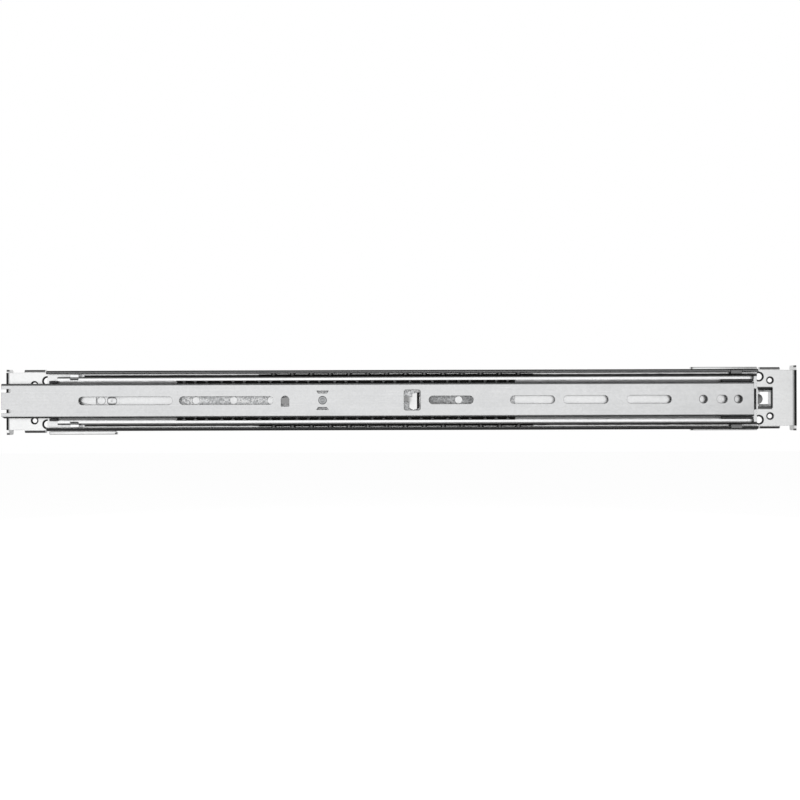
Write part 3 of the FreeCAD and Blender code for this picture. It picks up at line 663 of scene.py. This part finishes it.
@dataclass(frozen=True)
class MouldedFinish:
    """A moulded nylon or rubber surface.

    Args:
        name: the material's name.
        slot: the record's material slot; not used.
        colour: the plastic's colour.
        dust_colour: the colour of dust in its grain.
        roughness: how dull it is.
        grain: grains per metre.
        dust: how much dust shows.
        relief: depth of the grain as bump.
    """

    name: str
    slot: str
    colour: Colour
    dust_colour: Colour = (0.25, 0.25, 0.25)
    roughness: float = 0.45
    grain: float = 2500.0
    dust: float = 0.25
    relief: float = 0.15

    def build(self) -> Material:
        """Makes the material.

        Returns:
            The new material.
        """
        material, board, plastic = blank(self.name)
        grain = SHELF.place(board, Effect.MOULD_GRAIN, grain=self.grain, dust=self.dust)
        edge = SHELF.place(board, Effect.SOFT_EDGE, radius=MOULD_EDGE)
        skin = board.blend(grain.outputs["Bloom"], self.colour, self.dust_colour)
        board.link(skin, plastic.inputs["Base Color"])
        rough = board.maths("MULTIPLY_ADD", grain.outputs["Bloom"], DUST_DULLS, self.roughness)
        board.link(rough, plastic.inputs["Roughness"])
        board.relief(grain.outputs["Height"], edge, self.relief, GRAIN_RELIEF)
        return material


Finish = SheetFinish | MouldedFinish

BEND_BACK = FACE_Y + 0.0165  # behind the rounded part of a bracket's bend
END_BACK = FACE_Y + 0.0200  # just behind the front edges of the flanges' ends
TRACK_START = 0.071  # x where the outer ball tracks begin
MIDDLE_REAR = 0.6696  # x of the rear end of the middle member's lips
OUTER_STOP_X = 0.6549  # x of the outer member's pressed stops
HOLE_RIM = 0.0027  # radius of the rim of a bracket's small hole
BIG_RIM = 0.0037  # radius of the rim of a bracket's big hole
BENDS = ((0.0006, 0.0034), (0.7106, 0.0042))  # x and width of each bend's band of painted shade
# The x and the z of the middle of each flange end's patch of painted shade.
FLANGE_ENDS = ((0.0026, 0.0279), (0.0026, -0.0301), (0.7086, 0.0299), (0.7086, -0.0281))


def cage_finish(name: str, web: float, *frames: PaintedShade) -> SheetFinish:
    """The spangled finish of a ball cage, with shade painted near-black beyond its web.

    Args:
        name: the material's name.
        web: height where the painted shade begins.
        frames: the places where more shade is painted.

    Returns:
        The finish.
    """
    # Beyond the web the cage is painted near-black: painted shade in the gap between the members.
    return SheetFinish(
        name, "cage_steel", (0.80, 0.81, 0.82), (0.66, 0.67, 0.68), roughness=0.38,
        spangle=0.9, crystal=900.0, smear=0.5, tracks=((web, 0.030, 1.0, -1.0),), frames=frames,
    )


# Painted shade: the near-black edge colour and the rings round the lever rivet and two web holes.
INNER_STEEL = SheetFinish(
    "Inner member zinc", "rolled_steel", (0.71, 0.715, 0.72), edge_colour=(0.10, 0.10, 0.105),
    smear=0.2, edge_radius=0.0005,
    rings=((0.2852, 0.0, 0.0035), (0.6246, 0.0, 0.0036), (0.6558, 0.0, 0.0036)),
)
# Painted shade: the web, the bands in the track gaps and the dark rear ends of the lips.
MIDDLE_STEEL = SheetFinish(
    "Middle member zinc", "rolled_steel", (0.97, 0.975, 0.98), smear=0.15, web=(0.0152, 0.84),
    tracks=((0.0150, 0.0174, 0.55, -1.0), (0.0205, 0.0300, 0.96, TRACK_START)),
    frames=tuple(
        PaintedShade(MIDDLE_REAR, side * 0.0188, 0.0, 0.0005, 0.0040, 0.12) for side in (-1, 1)
    ),
)
# Painted shade: the rings near the front rivet, the band in the lip gap and the stops' corners.
OUTER_STEEL = SheetFinish(
    "Outer member zinc", "rolled_steel", (0.86, 0.865, 0.87), roughness=0.26, smear=0.15,
    rings=((0.0862, 0.0002, 0.0037), (0.0958, 0.0, 0.0043)),
    tracks=((0.0204, 0.0230, 0.96, TRACK_START),),
    frames=tuple(
        PaintedShade(OUTER_STOP_X, side * 0.0241, 0.0049, 0.0018, 0.0008, 0.24) for side in (-1, 1)
    ),
)
# Painted shade: the dark edge colour, the hole rims, the bends, the flange ends and the window
# rims.
BRACKET_STEEL = SheetFinish(
    "Bracket zinc", "bracket_steel", (0.95, 0.955, 0.955), roughness=0.28, lines=0.05, smear=0.1,
    edge_colour=(0.16, 0.16, 0.165), ring_width=0.0011,
    rings=(
        (0.0259, 0.0146, HOLE_RIM), (0.0259, -0.0176, HOLE_RIM),
        (0.0372, 0.0179, BIG_RIM), (0.0372, -0.0209, BIG_RIM),
        (0.6866, 0.0168, HOLE_RIM), (0.6866, -0.0154, HOLE_RIM),
        (0.6766, 0.0201, BIG_RIM), (0.6766, -0.0187, BIG_RIM),
    ),
    frames=(
        *(PaintedShade(x, 0.0, 0.0, 1.0, width, 0.03, BEND_BACK) for x, width in BENDS),
        *(PaintedShade(x, z, 0.0028, 0.0008, 0.0009, 0.12, END_BACK) for x, z in FLANGE_ENDS),
        # Painted shade on the upper, rear and lower rims of the rear bracket's window.
        PaintedShade(0.6820, 0.0094, 0.0060, 0.0006, 0.0012, 0.05),
        PaintedShade(0.6882, 0.0009, 0.0002, 0.0082, 0.0010, 0.04),
        PaintedShade(0.6820, -0.0080, 0.0056, 0.0004, 0.0012, 0.16),
    ),
)
# The frame paints a darker streak of shade across the inner cage's web.
INNER_CAGE_STEEL = cage_finish(
    "Galvanised inner cage", 0.0142, PaintedShade(0.4020, 0.0, 0.0220, 0.0010, 0.0046, 0.56)
)
OUTER_CAGE_STEEL = cage_finish("Galvanised outer cage", 0.0192)
# The frame paints the shadow in the gap at the lever's rear edge; the two patches darken the lever.
LEVER_STEEL = SheetFinish(
    "Lever zinc", "lever_steel", (0.93, 0.93, 0.93), roughness=0.26,
    stains=((0.2519, -0.0005, 0.011), (0.3590, 0.0006, 0.0062)),
    frames=(PaintedShade(0.3709, 0.0, 0.0012, 0.02, 0.0006, 0.02),),
)
RIVET_STEEL = SheetFinish(
    "Formed rivet", "rivet_steel", (0.92, 0.925, 0.93), lines=0.03, edge_radius=0.00008
)
PIVOT_STEEL = SheetFinish(
    "Pivot rivet", "rivet_steel", (0.50, 0.51, 0.52), roughness=0.3, lines=0.03, edge_radius=0.0002
)
BALL_STEEL = SheetFinish(
    "Polished ball", "ball_steel", (0.36, 0.36, 0.36), roughness=0.12, lines=0.02, relief=0.01
)
BLACK_NYLON = MouldedFinish("Black nylon", "black_nylon", (0.035, 0.035, 0.037))
BLACK_RUBBER = MouldedFinish("Black rubber", "black_rubber", (0.02, 0.02, 0.02), roughness=0.6)
# The bumper's tail: the same rubber painted lighter grey, a painted sheen on its dome.
SHEEN_RUBBER = MouldedFinish(
    "Rubber with painted sheen", "black_rubber", (0.20, 0.20, 0.20), roughness=0.3, relief=0.05
)


def stand(name: str, mesh: Mesh, material: Material) -> Piece:
    """Stands a mesh in the scene.

    Args:
        name: the new object's name.
        mesh: its mesh, freed here.
        material: its material.

    Returns:
        The new object.
    """
    data = bpy.data.meshes.new(name)
    mesh.to_mesh(data)
    mesh.free()
    data.materials.append(material)
    piece = bpy.data.objects.new(name, data)
    bpy.context.scene.collection.objects.link(piece)
    return piece


@dataclass
class Paint:
    """Materials made from the finishes, each one once.

    Args:
        made: the materials so far, by name.
    """

    made: dict[str, Material] = field(default_factory=dict)

    def material(self, finish: Finish) -> Material:
        """The material of a finish.

        Args:
            finish: the finish.

        Returns:
            The material.
        """
        if finish.name not in self.made:
            self.made[finish.name] = finish.build()
        return self.made[finish.name]

    def dress(self, node: str, finish: Finish) -> Piece:
        """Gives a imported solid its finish.

        Args:
            node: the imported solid's name.
            finish: its finish.

        Returns:
            The dressed object.
        """
        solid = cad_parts[node]
        for place in solid.material_slots:
            place.material = self.material(finish)
        log.info("dressed %s in %s", node, finish.name)
        return solid

    def piece(
        self, name: str, mesh: Mesh, finish: Finish, body: Body, smooth: float = 40.0
    ) -> Piece:
        """Makes a piece that rides on a body.

        Args:
            name: the piece's name.
            mesh: its mesh, freed here.
            finish: its finish.
            body: the body that it moves with.
            smooth: faces that meet at less than this angle, in degrees, look like one surface.

        Returns:
            The new object.
        """
        bmesh.ops.recalc_face_normals(mesh, faces=mesh.faces)
        for face in mesh.faces:
            face.smooth = True
        sharpest = math.radians(smooth)
        for edge in mesh.edges:
            edge.smooth = len(edge.link_faces) == 2 and edge.calc_face_angle(0.0) < sharpest
        piece = stand(name, mesh, self.material(finish))
        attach(piece, body.value)
        log.info("made %s on %s", name, body.value)
        return piece


PAINT = Paint()


def turn(mesh: Mesh, profile: Sequence[tuple[float, float]], where: Matrix) -> None:
    """Adds a turned shape to a mesh.

    Args:
        mesh: the mesh that it is added to.
        profile: (radius, place along the axis) points, from one end to the other.
        where: the matrix that sets the shape's own Z axis where the shape belongs.
    """
    rings = []
    for radius, along in profile:
        steps = TURN_STEPS if radius else 1
        angles = [2.0 * math.pi * i / steps for i in range(steps)]
        points = [Vector((radius * math.cos(a), radius * math.sin(a), along)) for a in angles]
        rings.append([mesh.verts.new(where @ point) for point in points])
    for near, far in zip(rings, rings[1:]):
        for i in range(TURN_STEPS):
            k = (i + 1) % TURN_STEPS
            corners = [near[i % len(near)], near[k % len(near)]]
            corners += [far[k % len(far)], far[i % len(far)]]
            mesh.faces.new(list(dict.fromkeys(corners)))


# ---- the slide's own sub-assemblies ----
@dataclass
class BallRow:
    """One row of loose balls.

    Args:
        node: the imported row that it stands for.
        body: the cage body that carries it.
        places: the x of each ball.
        depth: of the row.
        radius: of the row above the centreline, negative below it.
        ball_r: radius of a ball.
    """

    node: str
    body: Body
    places: list[float]
    depth: float
    radius: float
    ball_r: float = 0.00238

    def build(self) -> Piece:
        """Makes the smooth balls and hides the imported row.

        Returns:
            The new row.
        """
        mesh = bmesh.new()
        for x in self.places:
            where = Matrix.Translation((x, FACE_Y + self.depth, self.radius))
            bmesh.ops.create_icosphere(
                mesh, subdivisions=BALL_DIVISIONS, radius=self.ball_r, matrix=where
            )
        row = PAINT.piece(self.node + "_smooth", mesh, BALL_STEEL, self.body)
        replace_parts(row, self.node)
        return row


@dataclass
class BallTrain:
    """The two cages and their four rows of balls.

    Args:
        inner_front: x where the inner rows' first group begins.
        inner_groups: groups of three balls in an inner row.
        inner_group_pitch: from one group to the next.
        inner_ball_pitch: from one ball of a group to the next.
        outer_first: x of the outer rows' first ball.
        outer_balls: balls in an outer row.
        outer_ball_pitch: from one ball of an outer row to the next.
        inner_row: depth of the inner rows, and their radius from the centreline.
        outer_row: depth of the outer rows, and their radius from the centreline.
    """

    inner_front: float = 0.1547
    inner_groups: int = 9
    inner_group_pitch: float = 0.0336
    inner_ball_pitch: float = 0.01005
    outer_first: float = 0.241175
    outer_balls: int = 14
    outer_ball_pitch: float = 0.01685
    inner_row: tuple[float, float] = (0.0045, 0.0175)
    outer_row: tuple[float, float] = (0.0077726, 0.0230)

    def inner_places(self) -> list[float]:
        """Places the balls of an inner row.

        Returns:
            The x of each ball.
        """
        places = []
        for group in range(self.inner_groups):
            middle = self.inner_front + (group + 0.5) * self.inner_group_pitch
            places += [middle + step * self.inner_ball_pitch for step in (-1, 0, 1)]
        return places

    def outer_places(self) -> list[float]:
        """The x of each ball in an outer row."""
        return [self.outer_first + i * self.outer_ball_pitch for i in range(self.outer_balls)]

    def build(self) -> None:
        """Makes the rows and dresses the cages."""
        PAINT.dress("inner_cage", INNER_CAGE_STEEL)
        PAINT.dress("outer_cage", OUTER_CAGE_STEEL)
        rows = (
            ("inner_balls_", Body.INNER_CAGE, self.inner_places(), self.inner_row),
            ("outer_balls_", Body.OUTER_CAGE, self.outer_places(), self.outer_row),
        )
        for half, side in (("upper", 1), ("lower", -1)):
            for name, body, places, (depth, radius) in rows:
                BallRow(name + half, body, places, depth, side * radius).build()


@dataclass
class Members:
    """The three rolled members with their moulded buffers and guides."""

    def build(self) -> None:
        """Dresses the members."""
        PAINT.dress("inner_member", INNER_STEEL)
        PAINT.dress("middle_member", MIDDLE_STEEL)
        PAINT.dress("outer_member", OUTER_STEEL)
        for name in ("upper", "lower"):
            PAINT.dress("front_buffer_" + name, BLACK_NYLON)
            PAINT.dress("rear_guide_" + name, BLACK_NYLON)


@dataclass
class Bumper:
    """The rubber stop behind the inner member: a flat head, a stem and a mushroom tail.

    Args:
        tab: x of the stop tab's rear face.
        tab_t: thickness of the tab.
        depth: of the axis.
        tail_r: radius of the tail.
        tail_length: length of the tail.
        tail_lip: bevel of the tail's front edge.
        tail_band: length of the tail's straight part, with the bevel.
        dome_steps: of the tail's dome.
        stem_r: radius of the stem.
        stem_sink: how far the stem reaches into the head.
        head_depth: how far the head reaches back from its front face.
        edge_r: radius of the head's edges.
    """

    tab: float = 0.6732
    tab_t: float = 0.0015
    depth: float = 0.005
    tail_r: float = 0.0044
    tail_length: float = 0.005
    tail_lip: float = 0.0004
    tail_band: float = 0.0012
    dome_steps: int = 6
    stem_r: float = 0.00185
    stem_sink: float = 0.0003
    head_depth: float = 0.0076
    edge_r: float = 0.0007

    def head(self) -> Piece:
        """Makes the flat head, its edges rounded.

        Returns:
            The head.
        """
        low, high = (Vector(corner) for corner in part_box("rear_bumper"))
        high.x = self.tab - self.tab_t
        high.y = low.y + self.head_depth
        mesh = bmesh.new()
        size = Matrix.Diagonal((*(high - low), 1.0))
        bmesh.ops.create_cube(mesh, matrix=Matrix.Translation((low + high) / 2) @ size)
        rim = [e for e in mesh.edges if abs(e.verts[0].co.x - e.verts[1].co.x) > SNAP]
        bmesh.ops.bevel(mesh, geom=rim, offset=self.edge_r, segments=4, affect="EDGES", profile=0.5)
        head = PAINT.piece("rear_bumper_head", mesh, BLACK_RUBBER, Body.RACK)
        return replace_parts(head, "rear_bumper")

    def tail(self) -> Piece:
        """Turns the stem and the domed tail that locks it in the tab.

        Returns:
            The stem and tail in one.
        """
        start = -self.tab_t - self.stem_sink
        profile = [(0.0, start), (self.stem_r, start), (self.stem_r, 0.0)]
        profile.append((self.tail_r - self.tail_lip, 0.0))
        profile += [(self.tail_r, self.tail_lip), (self.tail_r, self.tail_band)]
        for step in range(1, self.dome_steps):
            angle = math.radians(90.0 * step / self.dome_steps)
            along = self.tail_band + (self.tail_length - self.tail_band) * math.sin(angle)
            profile.append((self.tail_r * math.cos(angle), along))
        profile.append((0.0, self.tail_length))
        mesh = bmesh.new()
        where = Matrix.Translation((self.tab, FACE_Y + self.depth, 0.0))
        turn(mesh, profile, where @ Matrix.Rotation(math.radians(90.0), 4, "Y"))
        # The tail's lighter grey is a painted sheen.
        tail = PAINT.piece("rear_bumper_tail", mesh, SHEEN_RUBBER, Body.RACK)
        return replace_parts(tail, "rear_bumper")

    def build(self) -> None:
        """Makes both ends of the stop."""
        self.head()
        self.tail()


@dataclass
class RivetGroup:
    """Turned rivets that stand for the faceted packed ones.

    Args:
        node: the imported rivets.
        body: the body that they hold to.
        places: the x and z of each rivet.
        profile: (radius, depth) points in millimetres.
        finish: the rivets' finish.
        smooth: as in Paint.piece.
    """

    node: str
    body: Body
    places: Pairs
    profile: Pairs
    finish: SheetFinish = RIVET_STEEL
    smooth: float = 30.0

    def build(self) -> Piece:
        """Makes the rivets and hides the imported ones.

        Returns:
            The new rivets.
        """
        mesh = bmesh.new()
        profile = [(radius / 1000.0, depth / 1000.0) for radius, depth in self.profile]
        for x, z in self.places:
            where = Matrix.Translation((x, FACE_Y, z))
            turn(mesh, profile, where @ Matrix.Rotation(math.radians(-90.0), 4, "X"))
        group = PAINT.piece(self.node + "_turned", mesh, self.finish, self.body, self.smooth)
        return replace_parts(group, self.node)


# Profiles of the rivets, as in RivetGroup.
BRACKET_RIVET = (
    (0.0, 11.55), (0.7, 11.5), (1.0, 11.22), (3.5, 11.22), (3.86, 11.3), (2.0, 12.4), (2.0, 14.7),
    (3.45, 14.7), (3.45, 15.2), (2.9, 15.7), (2.1, 15.98), (0.0, 15.98),
)
LEVER_RIVET = (
    (0.0, 0.12), (1.1, 0.03), (1.4, 0.2), (1.75, 0.2), (2.0, 0.03), (3.1, 0.03), (3.36, 0.12),
    (2.0, 1.0), (2.0, 3.3), (3.35, 3.3), (3.35, 3.75), (2.8, 4.1), (1.7, 4.28), (0.0, 4.28),
)


@dataclass
class HemStrip:
    """A folded hem, flush with a bracket's plate along its bent edge.

    Args:
        name: the piece's name.
        start: x of its square end.
        end: x of its slanted end.
        edge: height of its outer edge.
        width: how far it reaches back towards the centreline.
        front: y of its front face.
        thickness: of the hem.
        slant: how far its slanted end leans.
        edge_r: radius of its front edges.
    """

    name: str
    start: float
    end: float
    edge: float
    width: float = 0.0028
    front: float = FACE_Y + 0.0121
    thickness: float = 0.0006
    slant: float = 0.0012
    edge_r: float = 0.00035

    def build(self) -> Piece:
        """Makes the hem, its edges rolled over.

        Returns:
            The hem.
        """
        inner = self.edge - math.copysign(self.width, self.edge)
        corner = self.end - math.copysign(self.slant, self.end - self.start)
        outline = [(self.start, inner), (self.end, inner)]
        outline += [(corner, self.edge), (self.start, self.edge)]
        mesh = bmesh.new()
        face = mesh.faces.new([mesh.verts.new((x, self.front, z)) for x, z in outline])
        grown = bmesh.ops.extrude_face_region(mesh, geom=[face])
        moved = [item for item in grown["geom"] if isinstance(item, bmesh.types.BMVert)]
        bmesh.ops.translate(mesh, verts=moved, vec=(0.0, self.thickness, 0.0))
        rim = [e for e in mesh.edges if all(v.co.y < self.front + SNAP for v in e.verts)]
        bmesh.ops.bevel(mesh, geom=rim, offset=self.edge_r, segments=3, affect="EDGES", profile=0.5)
        return PAINT.piece(self.name, mesh, BRACKET_STEEL, Body.RACK)


@dataclass
class Brackets:
    """The two post brackets with their hems and rivets.

    Args:
        front: the x and z of each of the front bracket's rivets.
        rear: the x and z of each of the rear bracket's rivets.
    """

    front: Pairs = ((0.0958, 0.0), (0.058, 0.012), (0.058, -0.012))
    rear: Pairs = ((0.63, 0.0), (0.66, 0.012), (0.66, -0.012))

    def build(self) -> None:
        """Dresses the brackets, folds their hems and turns their rivets."""
        HemStrip("front_hem_lower", 0.0396, 0.0994, -0.0301).build()
        HemStrip("rear_hem_upper", 0.6747, 0.6160, 0.0288).build()
        HemStrip("rear_hem_lower", 0.6747, 0.6160, -0.0279).build()
        for end in ("front", "rear"):
            PAINT.dress(end + "_bracket", BRACKET_STEEL)
        RivetGroup("front_bracket_rivets", Body.RACK, self.front, BRACKET_RIVET).build()
        RivetGroup("rear_bracket_rivets", Body.RACK, self.rear, BRACKET_RIVET).build()


@dataclass
class Catch:
    """The release lever and its rivet.

    Args:
        pivot: x of the rivet.
    """

    pivot: float = 0.2852

    def build(self) -> None:
        """Dresses the lever and turns its rivet."""
        PAINT.dress("release_lever", LEVER_STEEL)
        pivot = ((self.pivot, 0.0),)
        RivetGroup("lever_rivet", Body.SERVER, pivot, LEVER_RIVET, PIVOT_STEEL).build()


# ---- studio ----
STEEP = 0.9  # a panel that leans more than this faces almost up or down


@dataclass(frozen=True)
class SoftBox:
    """A soft light panel.

    Args:
        name: the light's name.
        place: its centre.
        width: its width.
        height: its height.
        power: its power in watts.
    """

    name: str
    place: Point
    width: float
    height: float
    power: float

    def build(self, aim: Vector) -> None:
        """Hangs the panel.

        Args:
            aim: the point that it faces.
        """
        data = bpy.data.lights.new(self.name, "AREA")
        data.shape = "RECTANGLE"
        data.size = self.width
        data.size_y = self.height
        data.energy = self.power
        panel = bpy.data.objects.new(self.name, data)
        panel.location = self.place
        towards = aim - Vector(self.place)
        upright = "Z" if abs(towards.z) < STEEP * towards.length else "Y"
        panel.rotation_mode = "QUATERNION"
        panel.rotation_quaternion = towards.to_track_quat("-Z", upright)
        panel.visible_camera = False
        bpy.context.scene.collection.objects.link(panel)


@dataclass
class Studio:
    """The floor, the lights and the camera.

    Args:
        centre_x: the x that the camera and the lights face.
        distance: from the camera to the inner member's front face.
        frame_width: the width that the picture covers at that face.
        roll: turn of the camera about its own axis, in degrees.
        sensor: width of the camera's sensor in millimetres.
        far: from the camera to the farthest thing that it sees.
        floor_z: height of the floor.
        floor_reach: from its middle to its sides.
        pale: the floor's brightness.
        glow: how much light the floor gives.
        dim: how much light the backdrop casts.
        corner: of a corner box, its x from the middle, its lift and its height.
    """

    centre_x: float = 0.3542
    distance: float = 1.5
    frame_width: float = 0.71256
    roll: float = -0.17
    sensor: float = 36.0
    far: float = 40.0
    floor_z: float = -0.42
    floor_reach: float = 12.0
    pale: float = 0.93
    glow: float = 0.95
    dim: float = 0.03
    corner: Point = (3.0, 0.2, 4.4)

    def floor(self) -> None:
        """Lays a plain pale floor."""
        mesh = bmesh.new()
        bmesh.ops.create_grid(mesh, x_segments=1, y_segments=1, size=self.floor_reach)
        material, _, matt = blank("Pale floor")
        looks = {"Base Color": (self.pale, self.pale, self.pale, 1.0), "Roughness": 0.9}
        looks |= {"Specular IOR Level": 0.1, "Emission Color": WHITE}
        looks["Emission Strength"] = self.glow
        for label, value in looks.items():
            matt.inputs[label].default_value = value
        floor = stand("floor", mesh, material)
        floor.location = (self.centre_x, 0.0, self.floor_z)
        floor.visible_glossy = False
        floor.visible_shadow = False

    def surroundings(self) -> None:
        """Sets a white backdrop that lights the piece only dimly."""
        world = bpy.data.worlds.new("studio")
        world.use_nodes = True
        board = Board(world.node_tree)
        board.tree.nodes.clear()
        out = board.add("OutputWorld")
        seen = board.add("Background", color=WHITE, strength=1.0)
        lit = board.add("Background", color=WHITE, strength=self.dim)
        path = board.add("LightPath")
        choice = board.add("MixShader")
        board.link(path.outputs["Is Camera Ray"], choice.inputs[0])
        board.link(lit.outputs[0], choice.inputs[1])
        board.link(seen.outputs[0], choice.inputs[2])
        board.link(choice.outputs[0], out.inputs[0])
        bpy.context.scene.world = world

    def lights(self) -> None:
        """Hangs the soft boxes."""
        x = self.centre_x
        boxes = [
            SoftBox("front_box", (x - 0.2, -2.6, 0.0), 2.6, 1.7, 12.2),
            SoftBox("wide_box", (x, -3.0, 0.0), 6.0, 6.0, 19.0),
            SoftBox("top_box", (x, -0.5, 1.9), 2.2, 0.7, 1.2),
            SoftBox("rear_box", (x, 2.6, 0.5), 2.6, 1.2, 6.0),
        ]
        along, lift, height = self.corner
        for end, across, width, power in (("front", -2.2, 2.0, 14.0), ("rear", 2.3, 3.0, 29.0)):
            for side, sign in (("left", -1), ("right", 1)):
                place = (x + sign * along, across, lift)
                boxes.append(SoftBox(f"{end}_{side}_box", place, width, height, power))
        for box in boxes:
            box.build(Vector((x, 0.0, 0.0)))

    def camera(self) -> None:
        """Sets the camera square on to the server's side of the slide."""
        data = bpy.data.cameras.new("camera")
        data.sensor_width = self.sensor
        data.lens = self.sensor * self.distance / self.frame_width
        data.clip_end = self.far
        camera = bpy.data.objects.new("camera", data)
        camera.location = (self.centre_x, FACE_Y - self.distance, 0.0)
        level = Matrix.Rotation(math.radians(90.0), 3, "X")
        rolled = Matrix.Rotation(math.radians(self.roll), 3, "Z")
        camera.rotation_mode = "QUATERNION"
        camera.rotation_quaternion = (level @ rolled).to_quaternion()
        bpy.context.scene.collection.objects.link(camera)
        bpy.context.scene.camera = camera

    def build(self) -> None:
        """Sets the whole studio up."""
        self.floor()
        self.surroundings()
        self.lights()
        self.camera()
        bpy.context.scene.view_settings.view_transform = "Standard"


def main() -> None:
    """Builds the studio and dresses the slide."""
    logging.basicConfig(level=logging.INFO, format="%(name)s: %(message)s")
    Studio().build()
    for part in (Members(), Bumper(), BallTrain(), Brackets(), Catch()):
        part.build()
        log.info("%s done", type(part).__name__)


if __name__ == "__main__":
    main()
